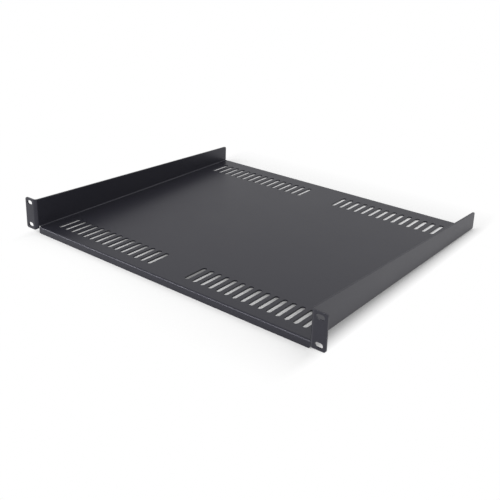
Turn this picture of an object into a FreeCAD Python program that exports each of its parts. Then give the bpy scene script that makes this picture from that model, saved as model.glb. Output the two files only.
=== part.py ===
import FreeCAD, Part
import math
import os
import Sketcher

# A cantilever rack shelf: one sheet of steel, cut flat and then folded.
# The base carries the load, the side walls stiffen it, the ears bolt it to the front rails of a
# 19 inch rack, and a short lip stiffens its front edge.
# The right half is modelled and mirrored. It is drawn from the middle of the rack (X = 0), the
# front face of the ears (Y = 0) and the lower edge of the lip (Z = 0). The body's Placement then
# puts the origin in the middle of the bolt pattern, on the rear face of the ears, which is the
# face that seats on the rails.

NODE = "cantilever_shelf"

# The sizes that can be set, in millimetres.
SIZES = {
    # the sheet and its folds; each radius is the one inside the fold
    "sheet": 2.0,
    "fold_radius": 1.0,
    "ear_fold_radius": 3.0,
    # the tray
    "body_width": 445.0,
    "depth": 400.0,
    "rear_wall_height": 23.7,
    "wall_corner_radius": 3.0,
    # the ears and their slotted holes
    "ear_reach": 18.8,
    "ear_height": 43.7,
    "ear_drop": 4.5,
    "ear_corner_radius": 3.0,
    "ear_root_radius": 5.0,
    "rail_hole_side_margin": 8.75,
    "rail_hole_end_margin": 5.975,
    "rail_hole_length": 10.0,
    "rail_hole_width": 6.0,
    # the front lip, from the base's top face down
    "lip_height": 9.2,
    "lip_setback": 3.75,
    "lip_end_gap": 0.75,
    "lip_corner_radius": 2.0,
    # the vents
    "vent_pitch": 12.0,
    "vents_in_group": 15,
    "vent_side_margin": 23.0,
    "vent_length": 37.0,
    "vent_width": 6.2,
    "front_vent_setback": 40.5,
    "rear_vent_setback": 39.5,
}

# The places that follow from the sizes, each a formula in the sheet.
PLACES = {
    "half_body": "=body_width / 2",
    "half_rack": "=half_body + ear_reach",
    "wall_inside": "=half_body - sheet",
    "wall_middle": "=half_body - sheet / 2",
    "fold_outside": "=fold_radius + sheet",
    "ear_fold_outside": "=ear_fold_radius + sheet",
    "base_top": "=lip_height",
    "base_underside": "=base_top - sheet",
    "base_front": "=lip_setback + fold_outside",
    "base_length": "=depth - base_front",
    "base_edge": "=half_body - fold_outside",
    "wall_foot": "=base_top + fold_radius",
    "lip_fold": "=base_top - fold_outside",
    "lip_inside": "=lip_setback + sheet",
    "lip_middle": "=lip_setback + sheet / 2",
    "lip_end": "=wall_inside - lip_end_gap",
    "ear_bottom": "=base_top - ear_drop",
    "ear_top": "=ear_bottom + ear_height",
    "ear_middle": "=ear_bottom + ear_height / 2",
    "ear_fold_side": "=half_body + ear_fold_radius",
    "ear_root_side": "=wall_inside + ear_root_radius",
    "ear_root_top": "=ear_bottom + ear_root_radius",
    "half_sheet": "=sheet / 2",
    "rear_wall_top": "=base_top + rear_wall_height",
    "rail_hole_place": "=half_rack - rail_hole_side_margin",
    "lower_rail_hole": "=ear_bottom + rail_hole_end_margin",
    "upper_rail_hole": "=ear_top - rail_hole_end_margin",
    "rail_hole_radius": "=rail_hole_width / 2",
    "rail_hole_straight": "=(rail_hole_length - rail_hole_width) / 2",
    "rear_vent_place": "=depth - rear_vent_setback",
    "vent_radius": "=vent_width / 2",
    "vent_straight": "=(vent_length - vent_width) / 2",
    "vent_run": "=vent_pitch * (vents_in_group - 1)",
    "first_vent": "=half_body - vent_side_margin - vent_run",
}

# How Sketcher numbers the points of a line or an arc, and the sketch's own origin.
START = 1
END = 2
CENTRE = 3
ORIGIN = -1

LEFT_TURN = 1
RIGHT_TURN = -1

# How near an edge's middle must lie to the place it is looked for.
NEAR = 0.01


def fill_sheet(document):
    """Write the sizes, and the places that follow from them, in the spreadsheet."""
    sheet = document.addObject("Spreadsheet::Sheet", "Sizes")
    for row, (name, value) in enumerate({**SIZES, **PLACES}.items(), start=1):
        sheet.set(f"A{row}", name)
        sheet.set(f"B{row}", str(value))
        sheet.setAlias(f"B{row}", name)
    document.recompute()
    return sheet


def size(expression):
    """The value of a name in the sheet, or of a sum or difference of names."""
    return float(sizes.evalExpression(expression))


def bind(holder, path, expression):
    """Tie a property or a constraint to a name in the sheet, or to a sum or difference."""
    words = [f"Sizes.{word}" if word in NAMES else word for word in expression.split()]
    holder.setExpression(path, " ".join(words))


def point(across, up):
    """The sketch point at two expressions of the sheet."""
    return FreeCAD.Vector(size(across), size(up), 0)


def origin_plane(role):
    """One of the body's own origin planes or axes."""
    return next(item for item in body.Origin.OriginFeatures if item.Role == role)


def new_sketch(name, plane, lift=None):
    """A sketch on one of the body's planes, moved along the plane's normal by an expression."""
    sketch = body.newObject("Sketcher::SketchObject", name)
    sketch.AttachmentSupport = [(origin_plane(plane), "")]
    sketch.MapMode = "FlatFace"
    if lift is not None:
        bind(sketch, "AttachmentOffset.Base.z", lift)
    return sketch


def dimension(sketch, kind, expression, *points):
    """Add a dimension to a sketch and tie it to the sheet."""
    index = sketch.addConstraint(Sketcher.Constraint(kind, *points, size(expression)))
    bind(sketch, f"Constraints[{index}]", expression)


def place(sketch, geometry, end, across, up):
    """Hold a point of a sketch at two expressions, measured from the sketch's origin."""
    dimension(sketch, "DistanceX", across, ORIGIN, START, geometry, end)
    dimension(sketch, "DistanceY", up, ORIGIN, START, geometry, end)


def arc_between(first, last, radius, turn):
    """The arc from one point to the next that curves to the left or to the right."""
    chord = last - first
    rise = math.sqrt(max(radius**2 - (chord.Length / 2) ** 2, 0))
    sideways = FreeCAD.Vector(-chord.y, chord.x, 0).normalize()
    centre = (first + last) / 2 + sideways * rise * turn
    ends = (first, last) if turn == LEFT_TURN else (last, first)
    angles = [math.atan2(end.y - centre.y, end.x - centre.x) for end in ends]
    circle = Part.Circle(centre, FreeCAD.Vector(0, 0, 1), radius)
    return Part.ArcOfCircle(circle, *angles)


def draw_outline(sketch, corners):
    """Draw a closed outline through corners, each (across, up) or (across, up, radius, turn).

    A corner with a radius is reached by an arc, and any other by a straight line.
    """
    edges = []
    for here, there in zip(corners, corners[1:] + corners[:1]):
        first, last = point(*here[:2]), point(*there[:2])
        if len(there) == 2:
            edge = sketch.addGeometry(Part.LineSegment(first, last))
            edges.append((edge, START, END))
            continue
        radius, turn = there[2:]
        edge = sketch.addGeometry(arc_between(first, last, size(radius), turn))
        edges.append((edge, START, END) if turn == LEFT_TURN else (edge, END, START))
        dimension(sketch, "Radius", radius, edge)
    for corner, one, other in zip(corners, edges, edges[1:] + edges[:1]):
        edge, entry, departure = one
        following, meeting, _ = other
        place(sketch, edge, entry, *corner[:2])
        sketch.addConstraint(Sketcher.Constraint("Coincident", edge, departure, following, meeting))


def draw_obround(sketch, radius, start, end):
    """Draw a round-ended slot between the centres of its two ends, each (across, up)."""
    first, last = point(*start), point(*end)
    ahead = (last - first).normalize()
    side = FreeCAD.Vector(ahead.y, -ahead.x, 0) * size(radius)
    cap = sketch.addGeometry(arc_between(last + side, last - side, size(radius), LEFT_TURN))
    back = sketch.addGeometry(Part.LineSegment(last - side, first - side))
    foot = sketch.addGeometry(arc_between(first - side, first + side, size(radius), LEFT_TURN))
    forth = sketch.addGeometry(Part.LineSegment(first + side, last + side))
    edges = (cap, back, foot, forth)
    for edge, following in zip(edges, edges[1:] + edges[:1]):
        sketch.addConstraint(Sketcher.Constraint("Tangent", edge, END, following, START))
    sketch.addConstraint(Sketcher.Constraint("Equal", cap, foot))
    dimension(sketch, "Radius", radius, cap)
    place(sketch, foot, CENTRE, *start)
    place(sketch, cap, CENTRE, *end)


def pad(name, sketch, length, reverse=False):
    """Thicken a sketch by a length from the sheet, along its normal or against it."""
    feature = body.newObject("PartDesign::Pad", name)
    feature.Profile = sketch
    feature.Reversed = reverse
    bind(feature, "Length", length)
    document.recompute()
    return feature


def pocket(name, sketch, length=None):
    """Cut a sketch to a length, or right through, and make sure that it took something away."""
    before = body.Tip.Shape.Volume
    feature = body.newObject("PartDesign::Pocket", name)
    feature.Profile = sketch
    if length is None:
        feature.Type = "ThroughAll"
    else:
        bind(feature, "Length", length)
    document.recompute()
    if not feature.Shape.Volume < before:
        raise RuntimeError(f"{name} cuts nothing")
    return feature


def round_corners(name, radius, middles):
    """Round each short edge whose middle lies at one of the given places."""
    base = body.Tip
    edges = [
        f"Edge{number}"
        for number, edge in enumerate(base.Shape.Edges, start=1)
        for middle in middles
        if (edge.CenterOfMass - FreeCAD.Vector(*map(size, middle))).Length < NEAR
    ]
    if len(edges) != len(middles):
        raise RuntimeError(f"{name} finds {len(edges)} of {len(middles)} edges")
    feature = body.newObject("PartDesign::Fillet", name)
    feature.Base = (base, edges)
    bind(feature, "Radius", radius)
    document.recompute()
    return feature


def make_ear_and_wall():
    """The ear, its fold and the side wall: one strip seen from above, as tall as the ear."""
    plan = new_sketch("ear_and_wall_plan", "XY_Plane", "ear_bottom")
    draw_outline(
        plan,
        [
            ("half_rack", "0"),
            ("half_rack", "sheet"),
            ("ear_fold_side", "sheet"),
            ("half_body", "ear_fold_outside", "ear_fold_radius", RIGHT_TURN),
            ("half_body", "depth"),
            ("wall_inside", "depth"),
            ("wall_inside", "ear_fold_outside"),
            ("ear_fold_side", "0", "ear_fold_outside", LEFT_TURN),
        ],
    )
    pad("ear_and_wall", plan, "ear_height")


def trim_wall():
    """Cut the wall's sloping top, and clear the space below its foot for the base's fold."""
    side = new_sketch("wall_trim_side", "YZ_Plane", "ear_fold_side")
    draw_outline(
        side,
        [
            ("ear_fold_outside", "ear_top"),
            ("depth", "rear_wall_top"),
            ("depth", "ear_top"),
        ],
    )
    draw_outline(
        side,
        [
            ("ear_fold_outside", "ear_bottom"),
            ("depth", "ear_bottom"),
            ("depth", "wall_foot"),
            ("ear_fold_outside", "wall_foot"),
        ],
    )
    pocket("wall_trim", side)


def round_ear_root():
    """Round the ear's lower inner corner, where its fold hangs below the base.

    The cut ends with the fold, which leaves a relief notch between the ear and the base.
    """
    front = new_sketch("ear_root_front", "XZ_Plane")
    draw_outline(
        front,
        [
            ("wall_inside", "ear_bottom"),
            ("ear_root_side", "ear_bottom"),
            ("wall_inside", "ear_root_top", "ear_root_radius", RIGHT_TURN),
        ],
    )
    pocket("ear_root", front, "ear_fold_outside")


def make_base():
    """Half of the base, and the fold that joins it to the wall."""
    section = new_sketch("base_section", "XZ_Plane", "0 - base_front")
    draw_outline(
        section,
        [
            ("0", "base_underside"),
            ("base_edge", "base_underside"),
            ("half_body", "wall_foot", "fold_outside", LEFT_TURN),
            ("wall_inside", "wall_foot"),
            ("wall_inside - fold_radius", "base_top", "fold_radius", RIGHT_TURN),
            ("0", "base_top"),
        ],
    )
    pad("base", section, "base_length", reverse=True)


def make_lip():
    """Half of the front lip, folded down from the base and stopping short of the ear."""
    side = new_sketch("lip_side", "YZ_Plane")
    draw_outline(
        side,
        [
            ("base_front", "base_top"),
            ("lip_setback", "lip_fold", "fold_outside", LEFT_TURN),
            ("lip_setback", "0"),
            ("lip_inside", "0"),
            ("lip_inside", "lip_fold"),
            ("base_front", "base_underside", "fold_radius", RIGHT_TURN),
        ],
    )
    pad("lip", side, "lip_end")


def cut_rail_holes():
    """The two slotted holes of the ear, one near each end, that take the rack screws."""
    front = new_sketch("rail_hole_front", "XZ_Plane")
    inner = "rail_hole_place - rail_hole_straight"
    outer = "rail_hole_place + rail_hole_straight"
    for rise in ("lower_rail_hole", "upper_rail_hole"):
        draw_obround(front, "rail_hole_radius", (inner, rise), (outer, rise))
    pocket("rail_holes", front)


def cut_vents():
    """A row of long vents behind the front edge and one ahead of the rear edge."""
    plan = new_sketch("vent_plan", "XY_Plane", "base_top")
    for middle in ("front_vent_setback", "rear_vent_place"):
        front_end = ("first_vent", f"{middle} - vent_straight")
        rear_end = ("first_vent", f"{middle} + vent_straight")
        draw_obround(plan, "vent_radius", front_end, rear_end)
    first = pocket("first_vents", plan)
    row = body.newObject("PartDesign::LinearPattern", "vent_row")
    row.Originals = [first]
    row.Direction = (origin_plane("X_Axis"), [""])
    row.Mode = "Extent"
    bind(row, "Length", "vent_run")
    bind(row, "Occurrences", "vents_in_group")
    body.Tip = row
    document.recompute()


def mirror_half():
    """The left half is the right half mirrored about the middle of the rack."""
    whole = body.newObject("PartDesign::Mirrored", "whole_shelf")
    whole.TransformMode = "Whole shape"
    whole.MirrorPlane = (origin_plane("YZ_Plane"), [""])
    whole.Refine = True
    body.Tip = whole
    document.recompute()


def check_model():
    """Stop if any feature has failed or the shelf isn't one closed solid."""
    for item in document.Objects:
        if "Invalid" in item.State or "Error" in item.State:
            raise RuntimeError(f"{item.Name} failed: {item.State}")
    if body.Shape.isNull() or not body.Shape.isValid():
        raise RuntimeError("the shelf has no valid shape")
    if len(body.Shape.Solids) != 1:
        raise RuntimeError(f"the shelf is {len(body.Shape.Solids)} solids")


NAMES = {**SIZES, **PLACES}
document = FreeCAD.newDocument("rack_shelf")
sizes = fill_sheet(document)
body = document.addObject("PartDesign::Body", "shelf")
body.Label = NODE

make_ear_and_wall()
trim_wall()
round_ear_root()
make_base()
make_lip()
cut_rail_holes()
round_corners(
    "ear_corners",
    "ear_corner_radius",
    [("half_rack", "half_sheet", "ear_bottom"), ("half_rack", "half_sheet", "ear_top")],
)
round_corners("wall_corner", "wall_corner_radius", [("wall_middle", "depth", "rear_wall_top")])
round_corners("lip_corner", "lip_corner_radius", [("lip_end", "lip_middle", "0")])
cut_vents()
mirror_half()

bind(body, "Placement.Base.y", "0 - sheet")
bind(body, "Placement.Base.z", "0 - ear_middle")
document.recompute()

check_model()
os.makedirs("parts", exist_ok=True)
body.Shape.exportStep(f"parts/{body.Label}.step")
box = body.Shape.BoundBox
print(f"{NODE}: {box.XLength:.2f} x {box.YLength:.2f} x {box.ZLength:.2f} mm,", end=" ")
print(f"volume {body.Shape.Volume:.0f} mm3, {len(body.Shape.Faces)} faces")
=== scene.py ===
import math

import bpy
from mathutils import Matrix, Vector


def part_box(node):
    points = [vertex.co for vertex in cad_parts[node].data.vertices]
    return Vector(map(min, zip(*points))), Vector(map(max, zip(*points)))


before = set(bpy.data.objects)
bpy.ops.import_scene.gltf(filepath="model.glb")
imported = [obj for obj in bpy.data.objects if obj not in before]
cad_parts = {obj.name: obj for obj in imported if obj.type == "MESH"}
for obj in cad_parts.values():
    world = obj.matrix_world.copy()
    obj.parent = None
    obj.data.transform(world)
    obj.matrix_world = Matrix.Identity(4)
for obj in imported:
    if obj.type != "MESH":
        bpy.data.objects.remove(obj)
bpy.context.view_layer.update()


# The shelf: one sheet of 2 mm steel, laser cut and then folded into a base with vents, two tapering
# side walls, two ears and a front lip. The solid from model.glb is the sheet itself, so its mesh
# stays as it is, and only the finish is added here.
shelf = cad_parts["cantilever_shelf"]
shelf_low, shelf_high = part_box("cantilever_shelf")


# The powder coat: a thin black polyester skin with a trace of blue, sprayed on dry and baked. It
# levels into a satin film with a fine grain and a shallow orange peel and rounds the cut edges.
# Along them its colour is painted paler as a highlight, and it is made a little glossier.
MILLIMETRE = 0.001
COAT_COLOUR = (0.011, 0.011, 0.016)
COAT_COLOUR_PALE = (0.015, 0.015, 0.021)
COAT_GLEAM = (0.88, 0.87, 1.0)
COAT_ROUGHNESS = 0.34
COAT_GRAIN_SIZE = 0.9 * MILLIMETRE
COAT_PEEL_SIZE = 3.5 * MILLIMETRE
COAT_CLOUD_SIZE = 60 * MILLIMETRE
FINE_DETAIL = 2
CLOUD_DETAIL = 3
COAT_GRAIN_DEPTH = 0.006 * MILLIMETRE
GRAIN_SHARE = 0.55
PEEL_SHARE = 0.45
CLOUD_TINTS = 0.5
GRAIN_TINTS = 0.5
GRAIN_DULLS = 0.08
CLOUD_DULLS = 0.07
EDGE_ROUND = 0.35 * MILLIMETRE
EDGE_SAMPLES = 6
# The paler colour painted along the edges as a highlight.
EDGE_HIGHLIGHT_COLOUR = (0.034, 0.034, 0.040)
EDGE_STRENGTH = 2.5
EDGE_SMOOTHS = 0.08


class Shade:
    """A shader socket that takes part in arithmetic: each operator adds its Math node."""

    def __init__(self, tree, socket):
        self.tree = tree
        self.socket = socket

    def maths(self, operation, other=0.0):
        """This value and another through a Math node."""
        return add_node(self.tree, "ShaderNodeMath", {"operation": operation}, {0: self, 1: other})

    def __add__(self, other):
        return self.maths("ADD", other)

    def __sub__(self, other):
        return self.maths("SUBTRACT", other)

    def __rsub__(self, other):
        return self.maths("MULTIPLY", -1.0).maths("ADD", other)

    def __mul__(self, other):
        return self.maths("MULTIPLY", other)

    def __pow__(self, other):
        return self.maths("POWER", other)

    def __abs__(self):
        return self.maths("ABSOLUTE")

    __radd__ = __add__
    __rmul__ = __mul__


def add_node(tree, kind, settings, sockets, output=0):
    """Add a node: its settings first, then the values or links of its sockets."""
    node = tree.nodes.new(kind)
    for name, value in settings.items():
        setattr(node, name, value)
    for name, value in sockets.items():
        if isinstance(value, Shade):
            tree.links.new(value.socket, node.inputs[name])
        else:
            node.inputs[name].default_value = value
    return Shade(tree, node.outputs[output]) if node.outputs else None


def empty_tree(holder):
    """The node tree of a material or a world, cleared."""
    holder.use_nodes = True
    holder.node_tree.nodes.clear()
    return holder.node_tree


def noise(tree, place, size, detail):
    """A cloud of values from 0 to 1 whose lumps are about one size across."""
    return add_node(
        tree,
        "ShaderNodeTexNoise",
        {},
        {"Vector": place, "Scale": 1 / size, "Detail": detail},
    )


powder_coat = bpy.data.materials.new("powder_coat")
coat = empty_tree(powder_coat)
coat_place = add_node(coat, "ShaderNodeTexCoord", {}, {}, output="Object")
grain = noise(coat, coat_place, COAT_GRAIN_SIZE, FINE_DETAIL)
peel = noise(coat, coat_place, COAT_PEEL_SIZE, FINE_DETAIL)
cloud = noise(coat, coat_place, COAT_CLOUD_SIZE, CLOUD_DETAIL)
coat_colour = add_node(
    coat,
    "ShaderNodeMix",
    {"data_type": "RGBA"},
    {
        0: CLOUD_TINTS * cloud + GRAIN_TINTS * grain,
        6: (*COAT_COLOUR, 1),
        7: (*COAT_COLOUR_PALE, 1),
    },
    output=2,
)
soft_edges = add_node(coat, "ShaderNodeBevel", {"samples": EDGE_SAMPLES}, {"Radius": EDGE_ROUND})
facing = add_node(coat, "ShaderNodeNewGeometry", {}, {}, output="Normal")
alike = add_node(
    coat,
    "ShaderNodeVectorMath",
    {"operation": "DOT_PRODUCT"},
    {0: soft_edges, 1: facing},
    output="Value",
)
# Painted highlight: near the rounded edges the coat's colour is mixed paler, and the same mask
# lowers the roughness there.
edge_highlight_and_gloss = (EDGE_STRENGTH * (1 - alike)).maths("MINIMUM", 1.0)
edge_highlighted_colour = add_node(
    coat,
    "ShaderNodeMix",
    {"data_type": "RGBA"},
    {0: edge_highlight_and_gloss, 6: coat_colour, 7: (*EDGE_HIGHLIGHT_COLOUR, 1)},
    output=2,
)
coat_relief = add_node(
    coat,
    "ShaderNodeBump",
    {},
    {
        "Height": GRAIN_SHARE * grain + PEEL_SHARE * peel,
        "Distance": COAT_GRAIN_DEPTH,
        "Normal": soft_edges,
    },
)
dullness = GRAIN_DULLS * (grain - 0.5) + CLOUD_DULLS * (cloud - 0.5)
coat_surface = add_node(
    coat,
    "ShaderNodeBsdfPrincipled",
    {},
    {
        "Base Color": edge_highlighted_colour,
        "Roughness": COAT_ROUGHNESS + dullness - EDGE_SMOOTHS * edge_highlight_and_gloss,
        "Specular Tint": (*COAT_GLEAM, 1),
        "Normal": coat_relief,
    },
)
add_node(coat, "ShaderNodeOutputMaterial", {}, {"Surface": coat_surface})
shelf.data.materials[0] = powder_coat


# The table: a plain white board. The shelf stands on the foot of its lip in front and on the rear
# edge of its base, so the board leans back a degree to meet both. It keeps the shelf's soft shadow
# and shows pure white further away, beside the walls sooner than before the lip.
LIP_FOOT_BEHIND_EAR_FRONT = 4 * MILLIMETRE
BASE_ABOVE_LIP_FOOT = 7.2 * MILLIMETRE
TABLE_REACH = 20
TABLE_CLEARANCE = 0.05 * MILLIMETRE
TABLE_COLOUR = (0.88, 0.88, 0.88)
WHITE = (1, 1, 1)
WHITENESS_BY_THE_SHELF = 0.2
SIDES_FADE_FASTER = 5
EAR_REACH = 18.8 * MILLIMETRE
SHADOW_GONE = 75 * MILLIMETRE

lip_foot = Vector((0, shelf_low.y + LIP_FOOT_BEHIND_EAR_FRONT, shelf_low.z))
rear_foot = Vector((0, shelf_high.y, shelf_low.z + BASE_ABOVE_LIP_FOOT))
across = Vector((1, 0, 0))
along = (rear_foot - lip_foot).normalized()
under_shelf = (lip_foot + rear_foot) / 2 - across.cross(along) * TABLE_CLEARANCE
corners = [
    under_shelf + TABLE_REACH * (across * side + along * depth)
    for side, depth in ((-1, -1), (1, -1), (1, 1), (-1, 1))
]
table_mesh = bpy.data.meshes.new("table")
table_mesh.from_pydata(corners, [], [(0, 1, 2, 3)])
table = bpy.data.objects.new("table", table_mesh)
bpy.context.scene.collection.objects.link(table)

white_board = bpy.data.materials.new("white_board")
board = empty_tree(white_board)
board_place = add_node(board, "ShaderNodeTexCoord", {}, {}, output="Object")
spot_x = add_node(board, "ShaderNodeSeparateXYZ", {}, {0: board_place}, output="X")
spot_y = add_node(board, "ShaderNodeSeparateXYZ", {}, {0: board_place}, output="Y")
beside = SIDES_FADE_FASTER * (abs(spot_x) - (shelf_high.x - EAR_REACH))
beyond = abs(spot_y - (shelf_high.y + shelf_low.y) / 2) - (shelf_high.y - shelf_low.y) / 2
beside = beside.maths("MAXIMUM", 0.0)
beyond = beyond.maths("MAXIMUM", 0.0)
away = (beside * beside + beyond * beyond) ** 0.5
whiteness = add_node(
    board,
    "ShaderNodeMapRange",
    {"interpolation_type": "LINEAR"},
    {0: away, 1: 0.0, 2: SHADOW_GONE, 3: WHITENESS_BY_THE_SHELF, 4: 1.0},
)
seen = add_node(board, "ShaderNodeLightPath", {}, {}, output="Is Camera Ray")
mirrored = add_node(board, "ShaderNodeLightPath", {}, {}, output="Is Glossy Ray")
seen_through = add_node(board, "ShaderNodeLightPath", {}, {}, output="Is Transmission Ray")
board_surface = add_node(
    board,
    "ShaderNodeMixShader",
    {},
    {
        0: whiteness * (seen + mirrored + seen_through),
        1: add_node(board, "ShaderNodeBsdfDiffuse", {}, {"Color": (*TABLE_COLOUR, 1)}),
        2: add_node(board, "ShaderNodeEmission", {}, {"Color": (*WHITE, 1), "Strength": 1.0}),
    },
)
add_node(board, "ShaderNodeOutputMaterial", {}, {"Surface": board_surface})
table_mesh.materials.append(white_board)


# The room: white all round, so that the coat mirrors a soft even light at every angle. It shows as
# plain white behind the table.
ROOM_BRIGHTNESS = 0.66
SEEN_BRIGHTNESS = 1.0

room = bpy.data.worlds.new("white_room")
walls = empty_tree(room)
room_light, room_white = (
    add_node(walls, "ShaderNodeBackground", {}, {"Color": (*WHITE, 1), "Strength": brightness})
    for brightness in (ROOM_BRIGHTNESS, SEEN_BRIGHTNESS)
)
room_seen = add_node(walls, "ShaderNodeLightPath", {}, {}, output="Is Camera Ray")
room_look = add_node(walls, "ShaderNodeMixShader", {}, {0: room_seen, 1: room_light, 2: room_white})
add_node(walls, "ShaderNodeOutputWorld", {}, {"Surface": room_look})
bpy.context.scene.world = room


# The lamps: a long softbox and two wide ones in front on the left, which draw a bright line along
# the fold of the lip and light its face, a high one behind for the table under the vents, and one
# behind on the right for the inside of the left wall.


def softbox(name, stands, looks_at, long_way, width, height, watts):
    """A flat rectangular lamp that faces a point, with its width laid along a direction."""
    facing = (Vector(looks_at) - Vector(stands)).normalized()
    side = Vector(long_way)
    side = (side - side.dot(facing) * facing).normalized()
    lamp = bpy.data.lights.new(name, "AREA")
    lamp.shape = "RECTANGLE"
    lamp.size = width
    lamp.size_y = height
    lamp.energy = watts
    holder = bpy.data.objects.new(name, lamp)
    turn = Matrix((side, side.cross(facing), -facing)).transposed()
    holder.matrix_world = Matrix.Translation(Vector(stands)) @ turn.to_4x4()
    bpy.context.scene.collection.objects.link(holder)


softbox(
    "long_box",
    stands=(-0.88, -0.85, 0.92),
    looks_at=(0.05, 0, 0),
    long_way=(0.93, -0.26, 0.26),
    width=1.2,
    height=0.12,
    watts=10,
)
softbox(
    "front_box",
    stands=(-0.35, -1.4, 1.0),
    looks_at=(0.1, 0, 0),
    long_way=(1, -0.15, 0.15),
    width=1.0,
    height=0.5,
    watts=5,
)
softbox(
    "side_box",
    stands=(-1.4, -0.7, 0.4),
    looks_at=(0, 0, 0),
    long_way=(0.5, -1, 0),
    width=0.8,
    height=0.8,
    watts=2,
)
softbox(
    "high_box",
    stands=(0.3, 1.4, 1.4),
    looks_at=(0, 0.2, 0),
    long_way=(1, 0, 0),
    width=1.4,
    height=0.8,
    watts=5,
)
softbox(
    "rear_box",
    stands=(2.0, 1.6, 0.9),
    looks_at=(0, 0.2, 0),
    long_way=(-0.6, 0.8, 0),
    width=1.4,
    height=1.4,
    watts=4,
)


# The camera: a short telephoto held above the front right corner, with its three angles in
# radians. Its film is shifted, so that the shelf sits in the middle of the view.
EYE = Vector((0.59427, -0.59579, 0.40326))
TURN = 0.694
DIP = 0.342
LEAN = 0.017
FILM_WIDTH = 36
LENS_LENGTH = 56.601
SHIFT_ACROSS = 0.06
SHIFT_UP = -0.14

ahead = Vector((-math.sin(TURN) * math.cos(DIP), math.cos(TURN) * math.cos(DIP), -math.sin(DIP)))
level = Vector((math.cos(TURN), math.sin(TURN), 0))
upright = level.cross(ahead)
right = math.cos(LEAN) * level + math.sin(LEAN) * upright
up = -math.sin(LEAN) * level + math.cos(LEAN) * upright
lens = bpy.data.cameras.new("lens")
lens.sensor_width = FILM_WIDTH
lens.lens = LENS_LENGTH
lens.shift_x = SHIFT_ACROSS
lens.shift_y = SHIFT_UP
camera = bpy.data.objects.new("camera", lens)
camera.matrix_world = Matrix.Translation(EYE) @ Matrix((right, up, -ahead)).transposed().to_4x4()
bpy.context.scene.collection.objects.link(camera)
bpy.context.scene.camera = camera
bpy.context.scene.view_settings.view_transform = "Standard"
